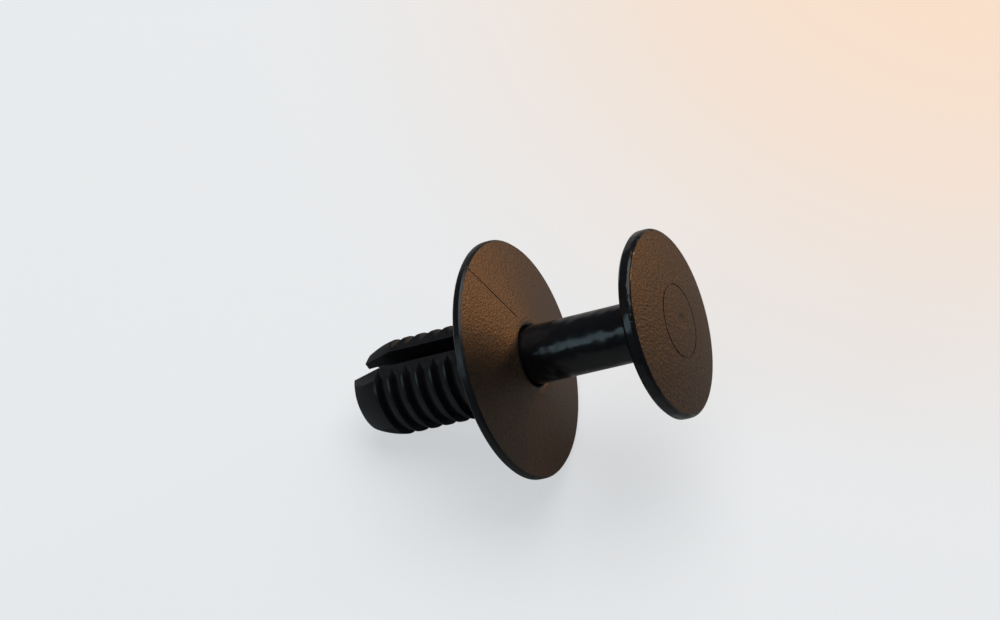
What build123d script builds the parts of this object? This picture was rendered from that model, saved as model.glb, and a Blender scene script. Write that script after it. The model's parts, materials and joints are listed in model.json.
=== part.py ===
from build123d import *
import os
from math import acos, atan2, cos, degrees, hypot, sin, sqrt

# Two-piece plastic expanding rivet for an 8 mm hole. All sizes are millimetres.
# Each piece is modelled about its own axis, with the panel's face at z = 0, the head at
# +Z and the split legs at -Z. The finished rivet is then laid down on its flange rim and
# the ends of its two legs, with its axis in the XZ plane.

# Flange of the sleeve
FLANGE_DIAMETER = 20.0
FLANGE_EDGE = 0.75
FLANGE_EDGE_BREAK = 0.15
FLANGE_DISH = 1.15
BORE_LAND_DIAMETER = 6.4
BEARING_BAND = 1.4
UNDERSIDE_HOLLOW = 0.3
# Turn of the flange about the axis, from where its round faces close at local +X
FLANGE_TURN = 1.39

# Shank of the sleeve: a full collar, then two ribbed legs with flats beside the slot
COLLAR_DIAMETER = 7.9
COLLAR_LENGTH = 1.65
SHANK_DIAMETER = 8.0
RIB_COUNT = 7
RIB_PITCH = 1.34
RIB_DEPTH = 0.43
RIB_LAND = 0.26
RIB_BACK = 0.14
ACROSS_FLATS = 6.8
TIP_ACROSS_FLATS = 5.4
TIP_LENGTH = 2.7
TIP_SHOULDER_DIAMETER = 6.46
TIP_ARC_RADIUS = 8.0
TIP_BEVEL_LENGTH = 0.25
TIP_END_DIAMETER = 5.7
LEG_STAGGER = RIB_PITCH / 2
SLOT_WIDTH = 1.65
SLOT_TO_COLLAR = 0.6

# Bore of the sleeve, straight through the flange and then narrowing between the legs
BORE_STRAIGHT = 3.2
TIP_BORE_DIAMETER = 4.4
BORE_MOUTH_ROUND = 0.35

# Pin, drawn out of the sleeve by its whole travel
PIN_DIAMETER = 4.85
PIN_CLEARANCE = 0.05
PIN_TRAVEL = 11.45
NOSE_LENGTH = 1.6
NOSE_DIAMETER = 3.0
NOSE_TO_LEG_END = 0.4
HEAD_DIAMETER = 15.4
HEAD_EDGE = 1.05
HEAD_CROWN = 0.75
HEAD_FRONT_ROUND = 0.35
HEAD_BACK_BEVEL = 0.25
STEM_ROOT_BEVEL = 0.3
RING_DIAMETER = 6.1
RING_WIDTH = 0.12
RING_DEPTH = 0.06

flange_radius = FLANGE_DIAMETER / 2
shank_radius = SHANK_DIAMETER / 2
pin_radius = PIN_DIAMETER / 2
bore_radius = pin_radius + PIN_CLEARANCE
dish_top = FLANGE_EDGE + FLANGE_DISH
long_leg_end = COLLAR_LENGTH + RIB_COUNT * RIB_PITCH + TIP_LENGTH
short_leg_end = long_leg_end - LEG_STAGGER


def turned(profile):
    """Turn a closed outline in the XZ plane about the rivet's axis."""
    return revolve(make_face(Plane.XZ * profile), Axis.Z)


def edges_at(solid, radius, height):
    """The round edges of a solid with this radius, on this level."""
    near = 1e-3
    rounds = solid.edges().filter_by(GeomType.CIRCLE)
    on_level = rounds.filter_by(lambda e: abs(e.arc_center.Z - height) < near)
    return on_level.filter_by(lambda e: abs(e.radius - radius) < near)


def flange():
    """Shallow dish with a flat band under its rim, a level land at the bore and the full
    collar."""
    collar_radius = COLLAR_DIAMETER / 2
    outline = Polyline(
        (0, dish_top),
        (BORE_LAND_DIAMETER / 2, dish_top),
        (flange_radius, FLANGE_EDGE),
        (flange_radius, 0),
        (flange_radius - BEARING_BAND, 0),
        (collar_radius, UNDERSIDE_HOLLOW),
        (collar_radius, -COLLAR_LENGTH),
        (0, -COLLAR_LENGTH),
        close=True,
    )
    body = turned(outline)
    rim = edges_at(body, flange_radius, FLANGE_EDGE) + edges_at(body, flange_radius, 0)
    return Rot(0, 0, FLANGE_TURN) * chamfer(rim, FLANGE_EDGE_BREAK)


def leg(side, stagger):
    """Half of the ribbed shank, on the +Y or the -Y side. Its ribs and its end are drawn
    up towards the flange by the stagger, and its flats close in along the tip."""
    root = shank_radius - RIB_DEPTH
    crests = [-COLLAR_LENGTH - i * RIB_PITCH + stagger for i in range(1, RIB_COUNT + 1)]
    points = [(0, -COLLAR_LENGTH), (root, -COLLAR_LENGTH)]
    if stagger == 0:
        points[-1] = (COLLAR_DIAMETER / 2, -COLLAR_LENGTH)
    for crest in crests:
        points.append((root, crest + RIB_BACK))
        points.append((shank_radius, crest))
        points.append((shank_radius, crest - RIB_LAND))
    # the last rib has no land: the taper of the tip starts at its crest
    points.pop()
    end = crests[-1] - TIP_LENGTH
    shoulder = (TIP_SHOULDER_DIAMETER / 2, end + TIP_BEVEL_LENGTH)
    ribs = Polyline(*points)
    taper = RadiusArc((shank_radius, crests[-1]), shoulder, TIP_ARC_RADIUS)
    close_end = Polyline(shoulder, (TIP_END_DIAMETER / 2, end), (0, end), (0, -COLLAR_LENGTH))
    half = revolve(make_face(Plane.XZ * (ribs + taper + close_end)), Axis.Z, 180)
    half &= between_flats(crests[-1], end)
    if side < 0:
        half = Rot(0, 0, 180) * half
    return half


def between_flats(tip_start, end):
    """Block that a leg keeps between its two flats, which close in along its tip."""
    outline = Polyline(
        (ACROSS_FLATS / 2, -COLLAR_LENGTH),
        (ACROSS_FLATS / 2, tip_start),
        (TIP_ACROSS_FLATS / 2, end),
        (-TIP_ACROSS_FLATS / 2, end),
        (-ACROSS_FLATS / 2, tip_start),
        (-ACROSS_FLATS / 2, -COLLAR_LENGTH),
        close=True,
    )
    return extrude(make_face(Plane.XZ * outline), SHANK_DIAMETER, both=True)


def sleeve():
    """Flange, collar and two split legs, moulded as one piece."""
    body = flange() + leg(1, LEG_STAGGER) + leg(-1, 0)
    mouth_radius = bore_radius + BORE_MOUTH_ROUND
    lip = RadiusArc((mouth_radius, dish_top), (bore_radius, dish_top - BORE_MOUTH_ROUND), -BORE_MOUTH_ROUND)
    narrowing = Polyline(
        (bore_radius, dish_top - BORE_MOUTH_ROUND),
        (bore_radius, -BORE_STRAIGHT),
        (TIP_BORE_DIAMETER / 2, -long_leg_end),
        (0, -long_leg_end),
        (0, dish_top),
        (mouth_radius, dish_top),
    )
    bore = turned(lip + narrowing)
    slot_top = -COLLAR_LENGTH - SLOT_TO_COLLAR
    slot_round = SLOT_WIDTH / 2
    slot_floor = -long_leg_end - 1
    slot_height = slot_top - slot_round - slot_floor
    straight = Pos(0, 0, slot_floor) * Box(
        FLANGE_DIAMETER, SLOT_WIDTH, slot_height, align=(Align.CENTER, Align.CENTER, Align.MIN)
    )
    end = Pos(0, 0, slot_top - slot_round) * Rot(0, 90, 0) * Cylinder(slot_round, FLANGE_DIAMETER)
    return body - bore - straight - end


def pin():
    """Smooth stem with a tapered nose, and a low crowned push head."""
    head_under = dish_top + PIN_TRAVEL
    head_front = head_under + HEAD_EDGE
    head_radius = HEAD_DIAMETER / 2
    nose_end = NOSE_TO_LEG_END - short_leg_end + PIN_TRAVEL
    crown_top = head_front + HEAD_CROWN
    sides = Polyline(
        (0, crown_top),
        (0, nose_end),
        (NOSE_DIAMETER / 2, nose_end),
        (pin_radius, nose_end + NOSE_LENGTH),
        (pin_radius, head_under),
        (head_radius, head_under),
        (head_radius, head_front),
    )
    crown_radius = (head_radius**2 + HEAD_CROWN**2) / (2 * HEAD_CROWN)
    crown = RadiusArc((head_radius, head_front), (0, crown_top), -crown_radius)
    section = make_face(sides + crown)
    front_corner = section.vertices().sort_by_distance((head_radius, head_front))[0]
    body = revolve(Plane.XZ * fillet(front_corner, HEAD_FRONT_ROUND), Axis.Z)
    body = chamfer(edges_at(body, head_radius, head_under), HEAD_BACK_BEVEL)
    body = chamfer(edges_at(body, pin_radius, head_under), STEM_ROOT_BEVEL)
    ring_radius = RING_DIAMETER / 2
    ring_level = crown_top - crown_radius + sqrt(crown_radius**2 - ring_radius**2)
    ring = Pos(0, 0, ring_level - RING_DEPTH) * (
        Cylinder(ring_radius, 1, align=(Align.CENTER, Align.CENTER, Align.MIN))
        - Cylinder(ring_radius - RING_WIDTH, 1, align=(Align.CENTER, Align.CENTER, Align.MIN))
    )
    return body - ring


def resting_angles():
    """Tilt and roll at which the flange rim, the outer corner of the short leg's shoulder
    and the slot corner of the long leg's end meet the floor."""
    end_flat = TIP_ACROSS_FLATS / 2
    shoulder_flat = end_flat + (ACROSS_FLATS / 2 - end_flat) * TIP_BEVEL_LENGTH / TIP_LENGTH
    shoulder_side = sqrt((TIP_SHOULDER_DIAMETER / 2) ** 2 - shoulder_flat**2)
    slot_side = SLOT_WIDTH / 2
    short_reach = short_leg_end - TIP_BEVEL_LENGTH + FLANGE_EDGE_BREAK
    long_reach = long_leg_end + FLANGE_EDGE_BREAK
    # both feet are level with the rim where a * cos(roll) + b * sin(roll) = c
    a = shoulder_flat * long_reach - end_flat * short_reach
    b = shoulder_side * long_reach + slot_side * short_reach
    c = flange_radius * (long_reach - short_reach)
    turn = atan2(b, a) - acos(c / hypot(a, b))
    rim_drop = flange_radius - end_flat * cos(turn) + slot_side * sin(turn)
    return degrees(atan2(rim_drop, long_reach)), degrees(turn)


tilt, roll = resting_angles()
lay_down = Rot(0, 90 - tilt, 0) * Rot(0, 0, -roll)
pieces = {"sleeve": lay_down * sleeve(), "pin": lay_down * pin()}
box = pieces["sleeve"].bounding_box().add(pieces["pin"].bounding_box())
to_origin = Pos(-box.center().X, -box.center().Y, -box.min.Z)
pieces = {name: to_origin * piece for name, piece in pieces.items()}

os.makedirs("parts", exist_ok=True)
for name, piece in pieces.items():
    export_step(piece, f"parts/{name}.step")

print(f"tilt {tilt:.3f} roll {roll:.3f} shift {to_origin.position}")
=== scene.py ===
import json
from math import cos, pi, radians, sin

import bmesh
import bpy
from mathutils import Matrix, Vector


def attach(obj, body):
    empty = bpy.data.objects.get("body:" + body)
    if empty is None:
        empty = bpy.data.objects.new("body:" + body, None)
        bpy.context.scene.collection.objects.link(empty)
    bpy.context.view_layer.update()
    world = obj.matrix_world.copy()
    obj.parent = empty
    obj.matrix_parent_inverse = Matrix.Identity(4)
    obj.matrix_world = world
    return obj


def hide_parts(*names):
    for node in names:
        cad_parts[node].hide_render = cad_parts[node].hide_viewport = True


MM = 0.001

# The rivet's own frame: its axis rises towards the head, and it is rolled about that axis
AXIS_ORIGIN = Vector((-1.418, 0, 8.731)) * MM
ROLL = radians(9.976)

# Levels and radii in the rivet's own frame
FLANGE_RADIUS = 10 * MM
FLANGE_EDGE = 0.75 * MM
BORE_LAND_RADIUS = 3.2 * MM
BORE_LAND_LEVEL = 1.9 * MM
HEAD_RADIUS = 7.7 * MM
HEAD_BACK_LEVEL = 13.35 * MM
HEAD_EDGE_LEVEL = 14.4 * MM
HEAD_APEX_LEVEL = 15.15 * MM

# Softened corners of the moulded plastic: those further from the axis than the bore and the stem
EDGE_SOFTENING = 0.05 * MM
SHARP_ANGLE = radians(28)
SMALLEST_SOFTENED_RADIUS = 3.6 * MM

# Places nearer than this are one corner, and triangles more level than this are one face
SAME_PLACE = 0.0005 * MM
SAME_LEVEL = radians(0.4)

# Grained faces look along the axis, on the front of flange and head. Those that lie this close
# to the true dish or crown are shaded as that, and the walls of a mark are not
SMOOTH, GRAINED = 0, 1
GRAINED_FACING = 0.95
TRUE_SURFACE_FACING = 0.9994

# Hairline weld line on the flange, from its rim to the bore, and the nick where it meets the rim
WELD_LINE_START = Vector((-9.9, 1.1)) * MM
WELD_LINE_END = Vector((-3.3, 1.32)) * MM
WELD_LINE_WIDTH = 0.09 * MM
WELD_LINE_DEPTH = 0.05 * MM
WELD_LINE_PAST_RIM = 1 * MM
NICK_SIZE = 0.16 * MM
NICK_TURN = radians(45)

# Mark of the gate in the middle of the head, and the deeper stretch of the ring around it
GATE_MARK_PLACE = Vector((0.25, 0.2)) * MM
GATE_MARK_RADIUS = 0.75 * MM
GATE_MARK_DEPTH = 0.08 * MM
GATE_BALL_SEGMENTS = 96
GATE_BALL_RINGS = 120
RING_RADIUS = 2.99 * MM
DEEP_RING_START = radians(222)
DEEP_RING_END = radians(277)
DEEP_RING_STEPS = 12
DEEP_RING_WIDTH = 0.13 * MM
DEEP_RING_END_SHARE = 0.25
DEEP_RING_DEPTH = 0.1 * MM

# Smooth plastic: its shine, the tones of its rubbed spots, their size and change of roughness,
# and how many finer noises its waves and its spots add
SMOOTH_SHINE = 0.25
RUBBED_TONES = (0.002, 0.002, 0.003), (0.007, 0.007, 0.008)
RUB_SIZE = 0.5 * MM
RUB_ROUGHNESS = 0.08
WAVE_DETAIL = 1
RUB_DETAIL = 4

# Grained plastic: the tint of its shine, the tones of its grain and where in the noise they lie
GRAIN_SHINE_TINT = (1.0, 0.72, 0.45, 1)
GRAIN_TONES = (0.002, 0.002, 0.002), (0.02, 0.012, 0.007)
GRAIN_TONE_PLACES = 0.35, 0.65
GRAIN_DETAIL = 2

# Floor: a painted pool of warm light in one place, which fades into the plain cool floor between
# these two distances from it
FLOOR_HALF = 1.5
FLOOR_ROUGHNESS = 0.9
FLOOR_SHINE = 0.1
# Tone of the painted pool of warm light, then the floor's own plain tone
WARM_LIGHT_POOL_AND_FLOOR_TONES = (0.97, 0.77, 0.62), (0.84, 0.86, 0.88)
WARM_LIGHT_POOL_PLACE = Vector((40, 62, 0)) * MM
WARM_LIGHT_POOL_REACH = 12 * MM
WARM_LIGHT_POOL_FADE_END = 75 * MM

# Share of the floor's tone that glows for the camera as painted light, which its shadows leave
# alone, and share of its light that its reflection in the plastic loses, as painted shade
FLOOR_PAINTED_GLOW_SHARE = 0.66
FLOOR_REFLECTION_LOSS = 0.55

# World, and lamps: azimuth and elevation in degrees, distance and size in metres, radiance and
# colour
WORLD_COLOUR = (0.85, 0.92, 1.0, 1)
WORLD_STRENGTH = 0.12
LAMPS = {
    "ceiling": (168, 62, 1.0, 1.1, 3.4, (1.0, 0.98, 0.96)),
    "window": (-64, 30, 0.9, 0.4, 2.8, (0.62, 0.9, 1.0)),
    "warm_room": (128, 5, 0.9, 0.2, 30.0, (1.0, 0.52, 0.22)),
}

# Camera: lens and place that give the photograph's view, with its angles in degrees
LENS_MM = 79.2
CAMERA_AZIMUTH = 6.143
CAMERA_ELEVATION = 55.423
CAMERA_ROLL = -1.687
CAMERA_DISTANCE = 180 * MM
CAMERA_AIM = Vector((-2.766, 3.008, 11.489)) * MM
CLIP_START = 0.01
CLIP_END = 10

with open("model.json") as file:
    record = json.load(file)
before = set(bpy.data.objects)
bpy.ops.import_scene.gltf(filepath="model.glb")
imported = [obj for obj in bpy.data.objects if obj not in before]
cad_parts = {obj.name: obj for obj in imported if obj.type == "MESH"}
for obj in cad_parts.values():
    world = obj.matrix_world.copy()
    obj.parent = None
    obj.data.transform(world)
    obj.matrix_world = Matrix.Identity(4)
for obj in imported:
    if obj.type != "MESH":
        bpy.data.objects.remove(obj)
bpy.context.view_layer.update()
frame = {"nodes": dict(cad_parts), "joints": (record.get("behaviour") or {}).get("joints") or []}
scene = bpy.context.scene


def own_frame():
    """Matrix from the rivet's own frame to the scene: the axis of its slide, and its roll."""
    z = -Vector(frame["joints"][0]["axis"]).normalized()
    down = Vector((z.z, 0, -z.x))
    across = Vector((0, 1, 0))
    x = cos(ROLL) * down - sin(ROLL) * across
    y = sin(ROLL) * down + cos(ROLL) * across
    turn = Matrix((x, y, z)).transposed().to_4x4()
    return Matrix.Translation(AXIS_ORIGIN) @ turn


OWN = own_frame()
OWN_INVERSE = OWN.inverted()
DISH_SLOPE = (BORE_LAND_LEVEL - FLANGE_EDGE) / (FLANGE_RADIUS - BORE_LAND_RADIUS)
CROWN_HEIGHT = HEAD_APEX_LEVEL - HEAD_EDGE_LEVEL
CROWN_RADIUS = (HEAD_RADIUS**2 + CROWN_HEIGHT**2) / (2 * CROWN_HEIGHT)


def new_object(name, data):
    """An object in the scene that shows this mesh, light or camera."""
    made = bpy.data.objects.new(name, data)
    scene.collection.objects.link(made)
    return made


def finished_mesh(name, build):
    """The bmesh as a mesh, with its faces looking out."""
    bmesh.ops.recalc_face_normals(build, faces=build.faces)
    mesh = bpy.data.meshes.new(name)
    build.to_mesh(mesh)
    build.free()
    return mesh


def flange_level(radius):
    """Height of the flange's dished face at this radius."""
    return BORE_LAND_LEVEL - DISH_SLOPE * (radius - BORE_LAND_RADIUS)


def crown_level(radius):
    """Height of the head's crown at this radius."""
    return HEAD_APEX_LEVEL - CROWN_RADIUS + (CROWN_RADIUS**2 - radius**2) ** 0.5


def groove_cutter(name, places, level, widths, depth):
    """V-shaped bar along these places of a face, where level gives its height at a radius."""
    build = bmesh.new()
    sections = []
    for i, (place, width) in enumerate(zip(places, widths)):
        here = Vector((*place, level(place.length)))
        before = places[max(i - 1, 0)]
        after = places[min(i + 1, len(places) - 1)]
        climb = level(after.length) - level(before.length)
        along = Vector((*(after - before), climb)).normalized()
        side = Vector((0, 0, 1)).cross(along).normalized()
        up = along.cross(side).normalized()
        low = build.verts.new(OWN @ (here - up * depth))
        left = build.verts.new(OWN @ (here + side * width + up * depth))
        right = build.verts.new(OWN @ (here - side * width + up * depth))
        sections.append((low, left, right))
    for first, second in zip(sections, sections[1:]):
        for i in range(3):
            j = (i + 1) % 3
            build.faces.new((first[i], first[j], second[j], second[i]))
    build.faces.new(sections[0])
    build.faces.new(sections[-1])
    return finished_mesh(name, build)


def weld_line_cutter():
    """Bar for the hairline on the flange, which runs out past its rim."""
    outward = (WELD_LINE_START - WELD_LINE_END).normalized() * WELD_LINE_PAST_RIM
    places = [WELD_LINE_START + outward, WELD_LINE_END]
    widths = [WELD_LINE_WIDTH] * 2
    return groove_cutter("weld_line_cutter", places, flange_level, widths, WELD_LINE_DEPTH)


def deep_ring_cutter():
    """Bar that deepens a stretch of the head's ring, and narrows towards both ends."""
    places, widths = [], []
    for i in range(DEEP_RING_STEPS + 1):
        share = i / DEEP_RING_STEPS
        angle = DEEP_RING_START + (DEEP_RING_END - DEEP_RING_START) * share
        places.append(Vector((cos(angle), sin(angle))) * RING_RADIUS)
        swell = (1 - DEEP_RING_END_SHARE) * sin(pi * share)
        widths.append(DEEP_RING_WIDTH * (DEEP_RING_END_SHARE + swell))
    return groove_cutter("deep_ring_cutter", places, crown_level, widths, DEEP_RING_DEPTH)


def nick_cutter():
    """Small cube on its corner, at the flange's rim where the weld line meets it."""
    build = bmesh.new()
    bmesh.ops.create_cube(build, size=NICK_SIZE)
    outward = WELD_LINE_START.normalized() * FLANGE_RADIUS
    place = Vector((*outward, FLANGE_EDGE))
    bmesh.ops.transform(build, matrix=Matrix.Rotation(NICK_TURN, 4, "Z"), verts=build.verts)
    bmesh.ops.transform(build, matrix=Matrix.Translation(place), verts=build.verts)
    bmesh.ops.transform(build, matrix=OWN, verts=build.verts)
    return finished_mesh("nick_cutter", build)


def gate_mark_cutter():
    """Ball that leaves a shallow round hollow in the head."""
    radius = (GATE_MARK_RADIUS**2 + GATE_MARK_DEPTH**2) / (2 * GATE_MARK_DEPTH)
    centre = Vector((*GATE_MARK_PLACE, HEAD_APEX_LEVEL - GATE_MARK_DEPTH + radius))
    build = bmesh.new()
    bmesh.ops.create_uvsphere(
        build,
        u_segments=GATE_BALL_SEGMENTS,
        v_segments=GATE_BALL_RINGS,
        radius=radius,
    )
    bmesh.ops.transform(build, matrix=Matrix.Translation(centre), verts=build.verts)
    bmesh.ops.transform(build, matrix=OWN, verts=build.verts)
    return finished_mesh("gate_mark_cutter", build)


def cut(piece, cutter_mesh):
    """Takes the cutter's volume away from the piece."""
    cutter = new_object(cutter_mesh.name, cutter_mesh)
    boolean = piece.modifiers.new("cut", "BOOLEAN")
    boolean.object = cutter
    boolean.solver = "EXACT"
    graph = bpy.context.evaluated_depsgraph_get()
    result = bpy.data.meshes.new_from_object(piece.evaluated_get(graph))
    piece.modifiers.clear()
    piece.data = result
    bpy.data.objects.remove(cutter)


def off_axis(place):
    """Distance from the rivet's axis."""
    return (OWN_INVERSE @ place).xy.length


def joined(mesh):
    """The mesh as a bmesh, with its seams welded and its level triangles joined."""
    build = bmesh.new()
    build.from_mesh(mesh)
    bmesh.ops.remove_doubles(build, verts=build.verts, dist=SAME_PLACE)
    bmesh.ops.dissolve_limit(build, angle_limit=SAME_LEVEL, verts=build.verts, edges=build.edges)
    return build


def soften(piece):
    """Rounds the outer corners, keeps the inner ones sharp and tells grained faces apart."""
    build = joined(piece.data)
    corners = []
    for edge in build.edges:
        if not edge.is_manifold or edge.calc_face_angle(0) < SHARP_ANGLE:
            continue
        if min(off_axis(v.co) for v in edge.verts) > SMALLEST_SOFTENED_RADIUS:
            corners.append(edge)
    bmesh.ops.bevel(
        build,
        geom=corners,
        offset=EDGE_SOFTENING,
        segments=2,
        profile=0.5,
        affect="EDGES",
        clamp_overlap=True,
    )
    turn = OWN_INVERSE.to_3x3()
    for face in build.faces:
        face.smooth = True
        facing = (turn @ face.normal).z
        level = (OWN_INVERSE @ face.calc_center_median()).z
        on_front = facing > GRAINED_FACING and level > FLANGE_EDGE
        face.material_index = GRAINED if on_front else SMOOTH
    for edge in build.edges:
        if edge.is_manifold and edge.calc_face_angle(0) > SHARP_ANGLE:
            edge.smooth = False
    build.to_mesh(piece.data)
    build.free()


def front_normal(place):
    """Normal of the flange's dished face, or of the head's crown, at this place."""
    own = OWN_INVERSE @ place
    outward = Vector((own.x, own.y, 0)).normalized()
    if own.z < HEAD_BACK_LEVEL:
        leaning = Vector((0, 0, 1)) + outward * DISH_SLOPE
    else:
        leaning = own - Vector((0, 0, HEAD_APEX_LEVEL - CROWN_RADIUS))
    return (OWN.to_3x3() @ leaning).normalized()


def even_normals(piece):
    """Gives corners their weighted normals, and on grained faces those of the true surface."""
    weighted = piece.modifiers.new("corner_normals", "WEIGHTED_NORMAL")
    weighted.keep_sharp = True
    graph = bpy.context.evaluated_depsgraph_get()
    mesh = bpy.data.meshes.new_from_object(piece.evaluated_get(graph))
    piece.modifiers.clear()
    piece.data = mesh
    normals = [corner.vector.copy() for corner in mesh.corner_normals]
    for face in mesh.polygons:
        likeness = face.normal.dot(front_normal(face.center))
        if face.material_index == GRAINED and likeness > TRUE_SURFACE_FACING:
            for corner in face.loop_indices:
                place = mesh.vertices[mesh.loops[corner].vertex_index].co
                normals[corner] = front_normal(place)
    mesh.normals_split_custom_set(normals)


def detailed(name, cutters, finishes):
    """A copy of the CAD piece with its fine marks and soft corners, which stands for it."""
    mesh = frame["nodes"][name].data.copy()
    mesh.materials.clear()
    piece = new_object(name + "_detailed", mesh)
    welded = joined(piece.data)
    welded.to_mesh(piece.data)
    welded.free()
    for cutter in cutters:
        cut(piece, cutter)
    piece.data.materials.clear()
    for finish in finishes:
        piece.data.materials.append(finish)
    soften(piece)
    even_normals(piece)
    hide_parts(name)
    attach(piece, name)


def material(name, build):
    """A node material, whose shader and colour nodes are made by build."""
    made = bpy.data.materials.new(name)
    made.use_nodes = True
    build(made.node_tree.nodes, made.node_tree.links, made.node_tree.nodes["Principled BSDF"])
    return made


def noise(nodes, links, size, detail):
    """Noise in the object's own space, whose spots have about this size."""
    place = nodes.new("ShaderNodeTexCoord")
    spots = nodes.new("ShaderNodeTexNoise")
    spots.inputs["Scale"].default_value = 1 / size
    spots.inputs["Detail"].default_value = detail
    links.new(place.outputs["Object"], spots.inputs["Vector"])
    return spots


def bump(nodes, links, height, depth):
    """Normal of a surface raised by height times this depth."""
    raised = nodes.new("ShaderNodeBump")
    raised.inputs["Strength"].default_value = 1
    raised.inputs["Distance"].default_value = depth
    links.new(height, raised.inputs["Height"])
    return raised.outputs["Normal"]


def between(nodes, links, share, low, high):
    """Colour that runs from low to high as share goes from 0 to 1."""
    ramp = nodes.new("ShaderNodeValToRGB")
    ramp.color_ramp.elements[0].color = (*low, 1)
    ramp.color_ramp.elements[1].color = (*high, 1)
    links.new(share, ramp.inputs["Fac"])
    return ramp


def smooth_plastic(roughness, wave_size, wave_depth):
    """Black plastic from a polished mould, with faint waves and rubbed spots."""
    def build(nodes, links, shader):
        shader.inputs["Specular IOR Level"].default_value = SMOOTH_SHINE
        waves = noise(nodes, links, wave_size, WAVE_DETAIL)
        rubs = noise(nodes, links, RUB_SIZE, RUB_DETAIL)
        tone = between(nodes, links, rubs.outputs["Fac"], *RUBBED_TONES)
        links.new(tone.outputs["Color"], shader.inputs["Base Color"])
        gloss = nodes.new("ShaderNodeMapRange")
        gloss.inputs["To Min"].default_value = roughness - RUB_ROUGHNESS
        gloss.inputs["To Max"].default_value = roughness + RUB_ROUGHNESS
        links.new(rubs.outputs["Fac"], gloss.inputs["Value"])
        links.new(gloss.outputs["Result"], shader.inputs["Roughness"])
        links.new(bump(nodes, links, waves.outputs["Fac"], wave_depth), shader.inputs["Normal"])
    return build


def grained_plastic(roughness, shine, grain_size, grain_depth):
    """Black plastic with a spark-eroded grain, which shines brown as its pigment does."""
    def build(nodes, links, shader):
        shader.inputs["Specular IOR Level"].default_value = shine
        shader.inputs["Specular Tint"].default_value = GRAIN_SHINE_TINT
        shader.inputs["Roughness"].default_value = roughness
        grain = noise(nodes, links, grain_size, GRAIN_DETAIL)
        tone = between(nodes, links, grain.outputs["Fac"], *GRAIN_TONES)
        for stop, place in zip(tone.color_ramp.elements, GRAIN_TONE_PLACES):
            stop.position = place
        links.new(tone.outputs["Color"], shader.inputs["Base Color"])
        links.new(bump(nodes, links, grain.outputs["Fac"], grain_depth), shader.inputs["Normal"])
    return build


def mixed(nodes, links, where, share, first, second):
    """Puts this share of the second shader in place of the first, for one kind of ray."""
    part = nodes.new("ShaderNodeMath")
    part.operation = "MULTIPLY"
    part.inputs[1].default_value = share
    links.new(where, part.inputs[0])
    mix = nodes.new("ShaderNodeMixShader")
    links.new(part.outputs["Value"], mix.inputs["Fac"])
    links.new(first.outputs[0], mix.inputs[1])
    links.new(second.outputs[0], mix.inputs[2])
    return mix


def shadow_free(nodes, links, shader, tone):
    """Keeps the floor's shadows light with a painted glow of its tone, and its reflection in the
    black plastic dim, a painted shade.
    """
    path = nodes.new("ShaderNodeLightPath")
    glow = nodes.new("ShaderNodeEmission")
    links.new(tone.outputs["Color"], glow.inputs["Color"])
    dim = nodes.new("ShaderNodeEmission")
    dim.inputs["Strength"].default_value = 0
    shader = mixed(nodes, links, path.outputs["Is Camera Ray"], FLOOR_PAINTED_GLOW_SHARE, shader, glow)
    shader = mixed(nodes, links, path.outputs["Is Glossy Ray"], FLOOR_REFLECTION_LOSS, shader, dim)
    links.new(shader.outputs["Shader"], nodes["Material Output"].inputs["Surface"])


def make_floor():
    """A wide pale floor under the rivet, with a painted pool of warm light in one place."""
    corners = [(x * FLOOR_HALF, y * FLOOR_HALF, 0) for x, y in ((-1, -1), (1, -1), (1, 1), (-1, 1))]
    mesh = bpy.data.meshes.new("floor")
    mesh.from_pydata(corners, [], [(0, 1, 2, 3)])
    floor = new_object("floor", mesh)

    def build(nodes, links, shader):
        shader.inputs["Roughness"].default_value = FLOOR_ROUGHNESS
        shader.inputs["Specular IOR Level"].default_value = FLOOR_SHINE
        place = nodes.new("ShaderNodeTexCoord")
        reach = nodes.new("ShaderNodeVectorMath")
        reach.operation = "DISTANCE"
        reach.inputs[1].default_value = WARM_LIGHT_POOL_PLACE
        links.new(place.outputs["Object"], reach.inputs[0])
        share = nodes.new("ShaderNodeMapRange")
        share.interpolation_type = "SMOOTHSTEP"
        share.inputs["From Min"].default_value = WARM_LIGHT_POOL_REACH
        share.inputs["From Max"].default_value = WARM_LIGHT_POOL_FADE_END
        links.new(reach.outputs["Value"], share.inputs["Value"])
        # Painted light: the floor's tone turns warm near one place, as a pool of warm light would
        # make it, and this tone also glows for the camera and shows in the plastic's reflections
        tone = between(nodes, links, share.outputs["Result"], *WARM_LIGHT_POOL_AND_FLOOR_TONES)
        links.new(tone.outputs["Color"], shader.inputs["Base Color"])
        shadow_free(nodes, links, shader, tone)
    mesh.materials.append(material("pale_floor_with_painted_warm_light", build))


def aim(thing, target):
    """Points a lamp or the camera at a place."""
    thing.rotation_mode = "QUATERNION"
    thing.rotation_quaternion = (target - thing.location).to_track_quat("-Z", "Y")


def direction(azimuth, elevation):
    """Unit vector from the rivet towards a place; azimuth 0 is -Y and 90 is +X."""
    a, e = radians(azimuth), radians(elevation)
    return Vector((sin(a) * cos(e), -cos(a) * cos(e), sin(e)))


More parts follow.
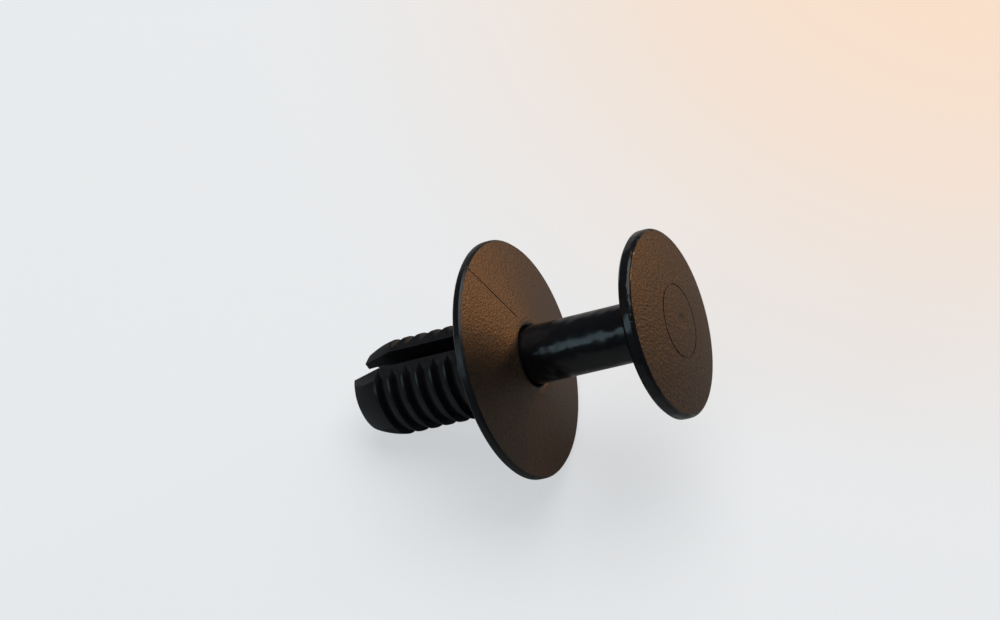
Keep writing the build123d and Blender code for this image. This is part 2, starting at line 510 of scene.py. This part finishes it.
def lamp(name, azimuth, elevation, distance, size, radiance, colour):
    """A round soft lamp, whose brightness as seen is its radiance."""
    data = bpy.data.lights.new(name, "AREA")
    data.shape = "DISK"
    data.size = size
    data.energy = radiance * pi * pi * size**2 / 4
    data.color = colour
    made = new_object(name, data)
    made.location = direction(azimuth, elevation) * distance
    aim(made, CAMERA_AIM)


def make_light():
    """A dim world, and the lamps."""
    world = bpy.data.worlds.new("room")
    world.use_nodes = True
    background = world.node_tree.nodes["Background"]
    background.inputs["Color"].default_value = WORLD_COLOUR
    background.inputs["Strength"].default_value = WORLD_STRENGTH
    scene.world = world
    for name, values in LAMPS.items():
        lamp(name, *values)


def make_camera():
    """The camera, where the photograph was taken from."""
    data = bpy.data.cameras.new("camera")
    data.lens = LENS_MM
    data.clip_start = CLIP_START
    data.clip_end = CLIP_END
    camera = new_object("camera", data)
    towards = direction(CAMERA_AZIMUTH, CAMERA_ELEVATION)
    camera.location = CAMERA_AIM + towards * CAMERA_DISTANCE
    aim(camera, CAMERA_AIM)
    turn = Matrix.Rotation(radians(CAMERA_ROLL), 4, "Z").to_quaternion()
    camera.rotation_quaternion = camera.rotation_quaternion @ turn
    scene.camera = camera


sleeve_smooth = smooth_plastic(roughness=0.32, wave_size=1.6 * MM, wave_depth=0.05 * MM)
sleeve_grain = grained_plastic(roughness=0.45, shine=0.6, grain_size=0.2 * MM, grain_depth=0.05 * MM)
pin_smooth = smooth_plastic(roughness=0.2, wave_size=1.8 * MM, wave_depth=0.2 * MM)
pin_grain = grained_plastic(roughness=0.5, shine=0.5, grain_size=0.24 * MM, grain_depth=0.08 * MM)
sleeve_finishes = [material("sleeve_smooth", sleeve_smooth), material("sleeve_grain", sleeve_grain)]
pin_finishes = [material("pin_smooth", pin_smooth), material("pin_grain", pin_grain)]
detailed("sleeve", [weld_line_cutter(), nick_cutter()], sleeve_finishes)
detailed("pin", [gate_mark_cutter(), deep_ring_cutter()], pin_finishes)
make_floor()
make_light()
make_camera()
scene.view_settings.view_transform = "Standard"
